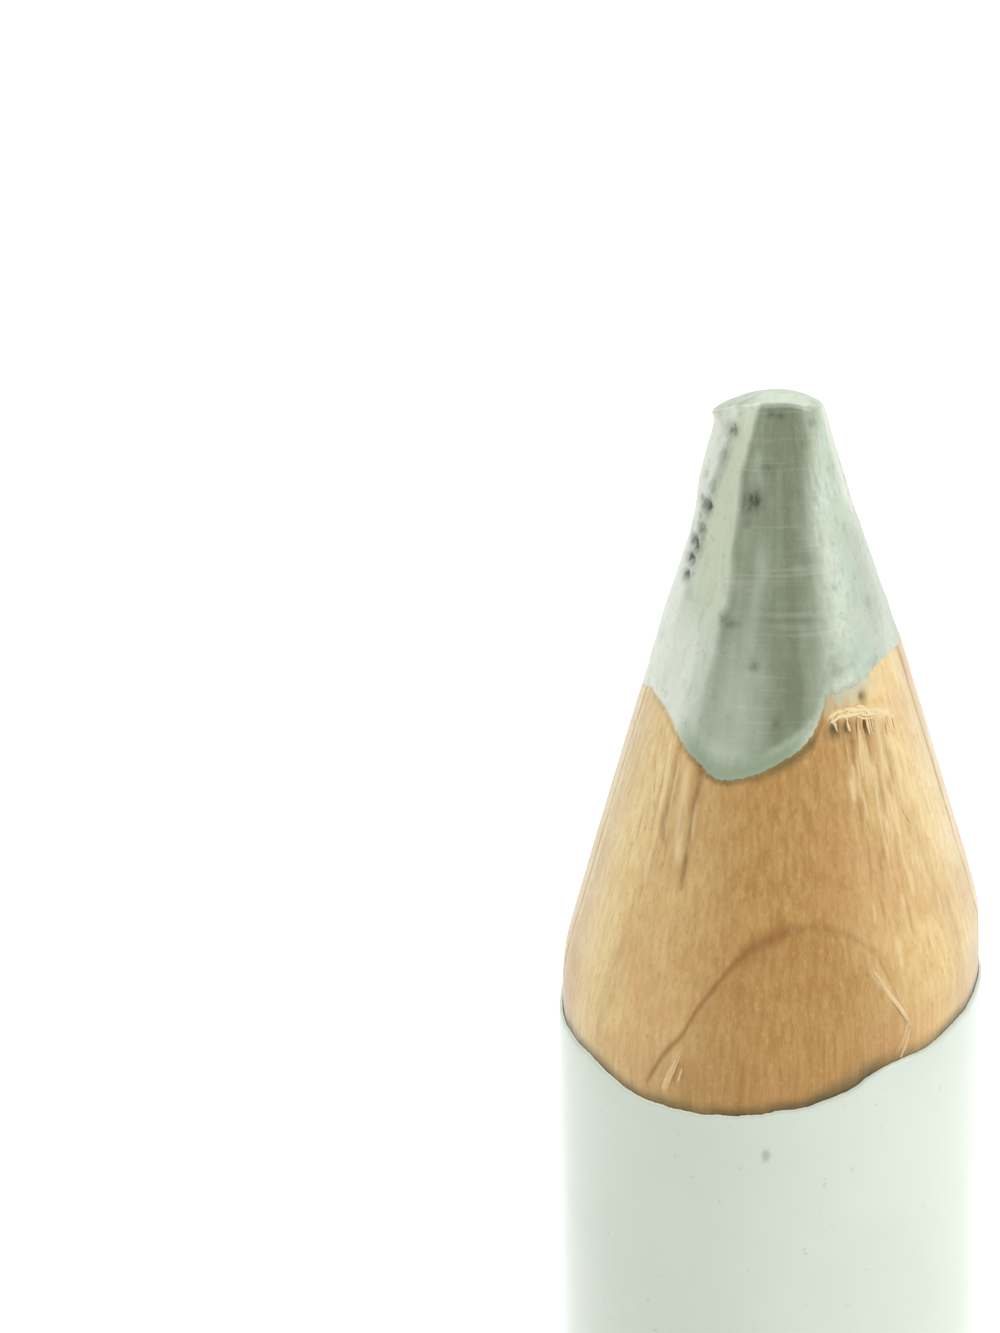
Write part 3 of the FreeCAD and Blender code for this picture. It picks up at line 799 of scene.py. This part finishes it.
# Torn fibres that stand off the cut wood: path of azimuths about the cut and heights,
# half width of the bundle, number of strands, lift at the start and at the end, paleness.
BUNDLES = [
    ([(21, 5.66), (27, 5.75), (33, 5.75), (39, 5.69)], 0.06, 15, 0.02, 0.04, 1.15),
    ([(29, 5.76), (36, 5.73), (43, 5.65), (50, 5.54)], 0.065, 17, 0.03, 0.03, 1.15),
    ([(40, 5.67), (46, 5.6), (52, 5.5), (58, 5.38)], 0.05, 11, 0.03, 0.01, 1.15),
    ([(23, 5.8), (24.5, 5.62), (26, 5.48)], 0.06, 4, 0.02, 0.01, 0.9),
    ([(29, 5.86), (30.5, 5.64), (31.5, 5.42)], 0.07, 4, 0.02, 0.01, 0.9),
    ([(41, 5.8), (41.5, 5.52), (42, 5.2)], 0.07, 4, 0.02, 0.01, 0.9),
    ([(54, 5.56), (55, 5.32), (55, 5.02)], 0.05, 3, 0.02, 0.01, 0.9),
    ([(37, 5.66), (36, 5.35), (35, 4.95), (34, 4.5)], 0.045, 3, 0.02, 0, 0.6),
    ([(45, 5.58), (46, 5.28), (45, 4.9), (43, 4.45)], 0.055, 4, 0.02, 0, 0.6),
    ([(51, 5.48), (52, 5.1), (51, 4.6)], 0.045, 3, 0.02, 0, 0.6),
    ([(42, 3.85), (41, 3.5), (40, 3.15)], 0.03, 2, 0.01, 0, 0.5),
    ([(49, 3.8), (52, 3.45), (55, 3.1)], 0.03, 1, 0.01, 0, 0.4),
    ([(-38.5, 4.7), (-38, 4.2), (-37.5, 3.6), (-36.5, 3)], 0.04, 3, 0.015, 0, 0.5),
    ([(-48, 5.05), (-47, 4.6), (-46, 4.3), (-45.5, 3.7)], 0.05, 3, 0.015, 0, 0.6),
    ([(28.5, 1.02), (31, 0.7), (35, 0.26), (37.5, -0.1)], 0.055, 7, 0, 0.02, 0.55),
    ([(37.5, -0.06), (35.5, -0.38), (33, -0.64)], 0.035, 4, 0.01, 0, 0.5),
    ([(28, 1.1), (30.5, 0.85), (32, 0.6)], 0.05, 3, 0.01, 0, 0.5),
    ([(-26.5, -0.45), (-28.5, -0.86), (-30.3, -1.25)], 0.05, 6, 0.01, 0.01, 0.45),
    ([(-25, -0.7), (-27, -1.15)], 0.03, 2, 0.01, 0, 0.4),
]


def eased(values):
    """A row of values without its sharp turns."""
    kernel = np.array([1, 2, 3, 2, 1]) / 9
    return np.convolve(np.pad(values, 2, "edge"), kernel, "valid")


def add_strand(points, faces, line, out, half_width, half_thickness):
    """One flat tapered strand along a line of points, closed at both ends."""
    steps, sides = len(line), 6
    angles = np.linspace(0, 2 * math.pi, sides, endpoint=False)
    ahead = np.gradient(line, axis=0)
    ahead /= np.linalg.norm(ahead, axis=1)[:, None]
    out = out - ahead * (out * ahead).sum(1)[:, None]
    out /= np.linalg.norm(out, axis=1)[:, None]
    side = np.cross(ahead, out)
    taper = np.sin(math.pi * np.linspace(0.04, 0.96, steps)) ** 0.6
    first = len(points)
    for step in range(steps):
        for angle in angles:
            across = side[step] * half_width * math.cos(angle)
            upwards = out[step] * half_thickness * math.sin(angle)
            points.append(line[step] + taper[step] * (across + upwards))
    for step in range(steps - 1):
        for k in range(sides):
            here, beside = first + step * sides + k, first + step * sides + (k + 1) % sides
            faces.append([here, beside, beside + sides, here + sides])
    faces.append([first + k for k in range(sides)])
    faces.append([first + (steps - 1) * sides + k for k in reversed(range(sides))])


def make_fibres(material):
    """Bundles of torn wood fibres, each of thin tapered strands."""
    dice = np.random.default_rng(81)
    steps = 18
    points, faces, pale = [], [], []
    for path, spread, count, lift_start, lift_end, paleness in BUNDLES:
        azimuths, heights = np.array(path, float).T
        at = np.linspace(0, 1, len(path))
        level = abs(heights[0] - heights[-1]) < 0.5
        for _ in range(count):
            start = dice.uniform(0, 0.6 if level else 0.35)
            length = dice.uniform(0.25, 0.6) if level else dice.uniform(0.5, 1)
            t = np.linspace(start, min(start + length, 1), steps)
            az, up = eased(np.interp(t, at, azimuths)), eased(np.interp(t, at, heights))
            offset = spread * dice.uniform(-1, 1)
            bow = 0.25 * spread * dice.normal() * np.sin(math.pi * np.linspace(0, 1, steps))
            shift = offset + bow + 0.25 * spread * dice.normal() * (t - 0.5)
            if level:
                up = up + shift + 0.12 * dice.normal() * (t - t.mean())
            else:
                az = az + np.degrees(shift / cone_radius(up))
            lift = lift_start * (1 - t) ** 2 + lift_end * t ** 2
            lift = lift * dice.uniform(0.3, 1.3) + dice.uniform(0, 0.008)
            line = place_rows(CUT, az, cone_radius(up) + lift, up)
            out = np.concatenate([outwards(az), np.full((steps, 1), SLOPE)], 1)
            add_strand(points, faces, line, out, dice.uniform(0.016, 0.032),
                       dice.uniform(0.007, 0.011))
            pale += [paleness] * (len(points) - len(pale))
    # Share of the darker front wood for the fibres: partly heartwood, partly painted shade
    heart_and_shade_share = 0.3
    masks = {"pale": np.array(pale), "heart_and_shade": np.full(len(points), heart_and_shade_share)}
    make_piece("torn_fibres", np.array(points), faces, masks, material, None)


def make_coat(material):
    """The lacquer coat: a thin sleeve with a rounded cut edge."""
    azimuth = np.arange(-180, 180, 0.5)
    columns = len(azimuth)
    edge = coat_edge(azimuth_of(BARREL + outwards(azimuth) * BARREL_RADIUS, CUT))
    floor = np.full(columns, -CORNER)
    inner = WOOD_RADIUS - OVERLAP
    rows = [(inner, floor), (inner, floor + 70), (inner, edge - 1.0), (inner, edge - 0.05)]
    cut = ((0, 0.075), (0.008, 0.06), (0.022, 0.045), (0.045, 0.03), (0.08, 0.018),
           (0.13, 0.009), (0.2, 0.003), (0.3, 0))
    butt = ((0.5, 0), (0.12, 0), (0.05, 0.006), (0.015, 0.022), (0, 0.045))
    rows += [(BARREL_RADIUS - inset, edge - below) for below, inset in cut]
    rows += [(BARREL_RADIUS, edge - below) for below in (0.6, 1.2, 2.4, 4.5, 9, 20, 40, 70,
                                                         100, 125)]
    rows += [(BARREL_RADIUS - inset, floor + height) for height, inset in butt]
    heights = np.array([height for _, height in rows])
    radii = np.array([np.full(columns, radius) for radius, _ in rows])
    outside = (radii > WOOD_RADIUS + 0.03) & (heights > 0.3 - CORNER)
    ripple = 0.002 * fractal(azimuth, heights, 8, 0.1, 71, 2)
    radii = np.minimum(radii + outside * ripple, BARREL_RADIUS + 0.001)
    masks = {"cut": hill(heights - edge + 0.015, 0.03) * outside}
    points = place_rows(BARREL, azimuth, radii, heights)
    faces = grid_faces(len(rows), columns, True, True)
    make_piece("lacquer_coat", points, faces, masks, material, "barrel_lacquer")


# Materials

def colour(red, green, blue):
    """A colour written in the usual 0 to 255 numbers, as the shader wants it."""
    def linear(value):
        value = value / 255
        return value / 12.92 if value <= 0.04045 else ((value + 0.055) / 1.055) ** 2.4
    return (linear(red), linear(green), linear(blue), 1)


def feed(tree, node, inputs):
    """Give inputs of a node their values, or link them to outputs of other nodes."""
    for name, value in inputs.items():
        if isinstance(value, bpy.types.NodeSocket):
            tree.links.new(value, node.inputs[name])
        else:
            node.inputs[name].default_value = value


def add_node(tree, kind, inputs, **settings):
    """Add a node with its settings and its inputs."""
    node = tree.nodes.new(kind)
    for name, value in settings.items():
        setattr(node, name, value)
    feed(tree, node, inputs)
    return node


class Shader:
    """A node material with short calls for the nodes that it needs."""

    def __init__(self, name, finish):
        self.material = bpy.data.materials.new(name)
        self.material.use_nodes = True
        self.tree = self.material.node_tree
        self.surface = self.tree.nodes["Principled BSDF"]
        feed(self.tree, self.surface, finish)
        coordinates = self.add("ShaderNodeTexCoord", {})
        scale = {0: coordinates.outputs["Object"], "Scale": 1 / MM}
        self.place = self.add("ShaderNodeVectorMath", scale, operation="SCALE").outputs[0]

    def add(self, kind, inputs, **settings):
        return add_node(self.tree, kind, inputs, **settings)

    def mask(self, name):
        return self.add("ShaderNodeAttribute", {}, attribute_name=name).outputs["Fac"]

    def math(self, operation, a, b):
        return self.add("ShaderNodeMath", {0: a, 1: b}, operation=operation).outputs[0]

    def times(self, a, b):
        return self.math("MULTIPLY", a, b)

    def plus(self, a, b):
        return self.math("ADD", a, b)

    def stretched(self, x, y, z):
        return self.add("ShaderNodeMapping", {"Vector": self.place, "Scale": (x, y, z)}).outputs[0]

    def noise(self, vector, scale, detail, roughness=0.55, distortion=0.0):
        inputs = {"Vector": vector, "Scale": scale, "Detail": detail, "Roughness": roughness,
                  "Distortion": distortion}
        return self.add("ShaderNodeTexNoise", inputs).outputs["Fac"]

    def ramp(self, value, low, high, to_low=0.0, to_high=1.0):
        inputs = {"Value": value, "From Min": low, "From Max": high, "To Min": to_low,
                  "To Max": to_high}
        node = self.add("ShaderNodeMapRange", inputs, interpolation_type="SMOOTHSTEP")
        return node.outputs["Result"]

    def mix(self, share, a, b):
        inputs = {"Factor": share, "A": a, "B": b}
        node = self.add("ShaderNodeMix", inputs, data_type="RGBA")
        return next(s for s in node.outputs if s.type == "RGBA")

    def blend(self, share, first, second):
        """From one colour to another."""
        return self.mix(share, colour(*first), colour(*second))

    def layers(self, base, rows):
        """Lay colours over a base, each as (where or the name of a mask, share, colour)."""
        for cover, share, paint in rows:
            if isinstance(cover, str):
                cover = self.mask(cover)
            base = self.mix(self.times(cover, share), base, colour(*paint))
        return base

    def finish(self, base, roughness, relief, depth):
        """Give the surface its colour, its roughness and its relief in millimetres."""
        inputs = {"Distance": depth * MM, "Strength": 1.0, "Height": relief}
        normal = self.add("ShaderNodeBump", inputs).outputs["Normal"]
        feed(self.tree, self.surface, {"Base Color": base, "Roughness": roughness,
                                       "Normal": normal})
        return self.material


def wood_material(name, ring_offset, ring_lean):
    """Pale honey wood with fine pores, long fibres and broad growth rings."""
    s = Shader(name, {"Specular IOR Level": 0.4, "Sheen Weight": 0.8, "Sheen Roughness": 0.35})
    ring_width = 1.55
    fibres = s.noise(s.stretched(9, 9, 0.55), 1.0, 5, 0.6, 0.3)
    threads = s.noise(s.stretched(26, 26, 1.6), 1.0, 3, 0.6)
    speckle = s.noise(s.stretched(1, 1, 0.6), 13, 3, 0.7)
    clouds = s.noise(s.place, 0.55, 2, 0.5)
    blotches = s.noise(s.stretched(1.6, 1.6, 0.8), 1.0, 3, 0.6, 0.6)
    split = s.add("ShaderNodeSeparateXYZ", {0: s.place})
    across = s.plus(s.times(split.outputs["X"], -ring_lean), split.outputs["Y"])
    warp = s.times(s.math("SUBTRACT", blotches, 0.5), 0.5)
    ring = s.math("DIVIDE", s.plus(s.plus(across, ring_offset), warp), ring_width)
    ring = s.math("FRACT", ring, 0.0)
    late = s.times(s.ramp(ring, 0.45, 0.93), s.ramp(ring, 1.0, 0.94))
    along = s.ramp(fibres, 0.3, 0.7)
    outer = s.blend(along, (230, 195, 130), (244, 216, 155))
    # Painted glare: the paler wood for the sides
    side_glare = s.blend(along, (236, 210, 154), (249, 231, 186))
    # Darker front wood: partly heartwood, partly painted shade
    heart_and_shade = s.blend(along, (179, 133, 70), (200, 158, 94))
    base = s.mix(s.mask("heart_and_shade"), s.mix(s.times(s.mask("side_glare"), 0.9), outer, side_glare), heart_and_shade)
    base = s.layers(base, (
        (s.ramp(clouds, 0.45, 0.7), 0.35, (203, 146, 92)),
        (s.ramp(blotches, 0.55, 0.75), 0.25, (196, 166, 108)),
        (late, 0.22, (166, 114, 58)),
        (s.ramp(speckle, 0.54, 0.76), 0.3, (150, 104, 54)),
        (s.ramp(speckle, 0.44, 0.26), 0.26, (236, 206, 156)),
        (s.ramp(threads, 0.62, 0.78), 0.28, (158, 110, 58)),
        ("arch", 0.7, (144, 92, 42)),
        ("pale", 0.85, (247, 224, 172)),
        # Darker grain and pits, with painted shade in the cracks and fibre dents
        ("dark", 0.8, (128, 80, 32)),
        ("smear", 0.75, (196, 205, 184)),
        # Painted shadow under the core's edge, and pigment in the stained pits
        ("stain_and_shadow", 0.9, (92, 86, 42)),
        # Painted shadow along the lacquer's edge
        ("rim", 0.85, (94, 84, 52)),
        ("glue", 0.5, (150, 112, 70)),
    ))
    roughness = s.ramp(speckle, 0.2, 0.8, 0.55, 0.78)
    relief = s.plus(s.times(fibres, 0.6), s.plus(s.times(threads, 0.5), s.times(speckle, 0.35)))
    return s.finish(base, roughness, relief, 0.018)


def core_material():
    """Pearly grey-green pigment, smeared, its worn band painted dark as matt pigment and painted
    shade, with painted highlights and shade by the lip and on the sides.
    """
    s = Shader("pearl_pigment", {"Metallic": 0.18, "Specular IOR Level": 0.5})
    flecks = s.noise(s.place, 24, 2, 0.6)
    grains = s.noise(s.place, 8, 4, 0.65)
    clouds = s.noise(s.place, 1.3, 3, 0.55, 0.4)
    lines = s.noise(s.stretched(0.5, 0.5, 9), 1.0, 4, 0.6)
    smears = s.noise(s.stretched(5, 5, 0.7), 1.0, 3, 0.55, 0.5)
    base = s.blend(s.ramp(clouds, 0.35, 0.68), (194, 205, 184), (206, 216, 198))
    base = s.layers(base, (
        # Painted highlight on the sides that catch the light
        ("lit_side_highlight", 0.9, (228, 234, 219)),
        ("mint", 0.45, (188, 216, 199)),
        # Matt patches and the worn crown, with painted shade on the right side
        ("dull_and_shade", 0.48, (158, 168, 154)),
        # Painted highlight on the strip left of the crease
        ("pale", 0.8, (206, 214, 186)),
        # Worn band: matt smeared pigment and painted shade with the facet's dark reflection
        ("band", 1.0, (122, 131, 105)),
        (s.ramp(smears, 0.5, 0.75), 0.2, (134, 143, 122)),
        (s.ramp(lines, 0.52, 0.72), 0.16, (214, 222, 203)),
        (s.ramp(grains, 0.56, 0.72), 0.22, (110, 118, 98)),
        (s.ramp(flecks, 0.6, 0.74), 0.12, (228, 233, 218)),
        # Painted shade on the lip's underside
        ("lip_underside_shade", 0.85, (136, 155, 124)),
        # Painted highlight on the lip's ridge and the rings' crests
        ("painted_highlight", 0.55, (206, 215, 198)),
        # Darker pits, smudges and streaks, with painted shade along the rim, at the torn edge and
        # in the rings' grooves
        ("grime_and_shade", 0.9, (58, 62, 40)),
    ))
    roughness = s.ramp(grains, 0.25, 0.75, 0.36, 0.56)
    relief = s.plus(s.times(grains, 0.8), s.plus(s.times(lines, 0.6), s.times(flecks, 0.25)))
    return s.finish(base, roughness, relief, 0.012)


def coat_material():
    """Pale mint lacquer, glossy, with a faint ripple and one grey speck."""
    gloss = {"Specular IOR Level": 0.5, "Coat Weight": 0.25, "Coat Roughness": 0.12}
    s = Shader("mint_lacquer", gloss)
    clouds = s.noise(s.place, 0.35, 2, 0.5)
    mist = s.noise(s.place, 3.5, 3)
    dust = s.noise(s.place, 5.5, 1, 0.5)
    squash = 0.55
    speck_height = CORNER - 2.3
    speck_place = (-0.08, -BARREL_RADIUS, speck_height * squash)
    speck = s.add("ShaderNodeVectorMath", {0: s.stretched(1, 1, squash), 1: speck_place},
                  operation="DISTANCE")
    speck_edge = s.plus(speck.outputs["Value"], s.times(mist, 0.12))
    base = s.blend(s.ramp(clouds, 0.35, 0.65), (217, 228, 213), (222, 231, 217))
    base = s.layers(base, (
        (s.ramp(mist, 0.5, 0.75), 0.06, (232, 239, 228)),
        (s.ramp(dust, 0.735, 0.78), 0.25, (170, 180, 165)),
        ("cut", 0.45, (178, 180, 150)),
        (s.ramp(speck_edge, 0.19, 0.07), 0.5, (128, 140, 124)),
    ))
    return s.finish(base, 0.28, s.noise(s.place, 0.9, 2, 0.5), 0.002)


# Pieces

front_wood = wood_material("honey_wood_front", 3.28, 0.095)
back_wood = wood_material("honey_wood_back", 2.6, -0.21)
make_core(core_material())
make_casing("wood_front", "casing_front_half", front_columns(), 165, front_wood)
make_casing("wood_back", "casing_back_half", np.linspace(90, 270, 201), 120, back_wood)
make_fibres(front_wood)
make_coat(coat_material())


# Stage, light and camera

WHITE = (1, 1, 1, 1)
PALE_GREY = (0.86, 0.86, 0.86, 1)


def bright_rays(tree):
    """1 for the rays that see the white surroundings: from camera, gloss and glass."""
    path = add_node(tree, "ShaderNodeLightPath", {})
    seen = path.outputs["Is Camera Ray"]
    for kind in ("Is Glossy Ray", "Is Transmission Ray"):
        inputs = {0: seen, 1: path.outputs[kind]}
        seen = add_node(tree, "ShaderNodeMath", inputs, operation="MAXIMUM").outputs[0]
    return seen


def make_floor():
    """A plain pale floor that looks white to the camera and keeps soft shadows."""
    size = 3.0
    mesh = bpy.data.meshes.new("floor")
    corners = [(-size, -size, 0), (size, -size, 0), (size, size, 0), (-size, size, 0)]
    mesh.from_pydata(corners, [], [(0, 1, 2, 3)])
    material = bpy.data.materials.new("pale_floor")
    material.use_nodes = True
    tree = material.node_tree
    glow_level = 0.55
    glow = add_node(tree, "ShaderNodeMath", {0: bright_rays(tree), 1: glow_level},
                    operation="MULTIPLY")
    feed(tree, tree.nodes["Principled BSDF"], {
        "Base Color": PALE_GREY, "Roughness": 0.9, "Emission Color": WHITE,
        "Emission Strength": glow.outputs[0]})
    mesh.materials.append(material)
    floor = add_object("floor", mesh)


def make_world():
    """Even pale surroundings: white to the camera, softer as light."""
    world = bpy.data.worlds.new("surroundings")
    scene.world = world
    world.use_nodes = True
    tree = world.node_tree
    light_level = 0.6
    level = add_node(tree, "ShaderNodeMapRange", {"Value": bright_rays(tree),
                                                  "To Min": light_level, "To Max": 1.0})
    feed(tree, tree.nodes["Background"], {"Color": WHITE, "Strength": level.outputs["Result"]})


def make_lamp(name, azimuth, elevation, distance, size, power):
    """A soft rectangular lamp that looks at the point of the pencil."""
    light = bpy.data.lights.new(name, "AREA")
    light.shape = "RECTANGLE"
    light.size, light.size_y = size
    light.energy = power
    lamp = add_object(name, light)
    turn, lift = math.radians(azimuth), math.radians(elevation)
    away = Vector((math.sin(turn) * math.cos(lift), -math.cos(turn) * math.cos(lift),
                   math.sin(lift)))
    lamp.location = Vector((0, 0, CORNER * MM)) + away * distance
    lamp.rotation_mode = "QUATERNION"
    lamp.rotation_quaternion = away.to_track_quat("Z", "Y")


def make_camera():
    """The photograph's view: from 28 degrees above, close to the point, with a long lens."""
    elevation = math.radians(28)
    distance = 0.12
    focal_pixels = 6360
    frame_height = 1333
    ring_right = 270
    ring_below = 276.5
    camera = bpy.data.cameras.new("camera")
    camera.sensor_width = 36
    camera.lens = camera.sensor_width * focal_pixels / frame_height
    camera.clip_start = 0.005
    camera.clip_end = 20
    holder = add_object("camera", camera)
    scene.camera = holder
    slant = math.hypot(ring_right, ring_below, focal_pixels)
    pitch = elevation - math.asin(ring_below / slant)
    yaw = math.atan2(ring_right, focal_pixels)
    place = Vector((0, -math.cos(elevation) * distance,
                    CORNER * MM + math.sin(elevation) * distance))
    tilt = Matrix.Rotation(math.pi / 2 - pitch, 4, "X")
    holder.matrix_world = Matrix.Translation(place) @ tilt @ Matrix.Rotation(yaw, 4, "Y")


make_floor()
make_world()
make_lamp("softbox_right", 64, 26, 0.55, (0.36, 0.5), 1.25)
make_lamp("softbox_left", -92, 66, 0.55, (0.36, 0.5), 1.2)
make_lamp("softbox_back", 168, 40, 0.6, (0.5, 0.5), 0.8)
make_camera()

scene.view_settings.view_transform = "Standard"
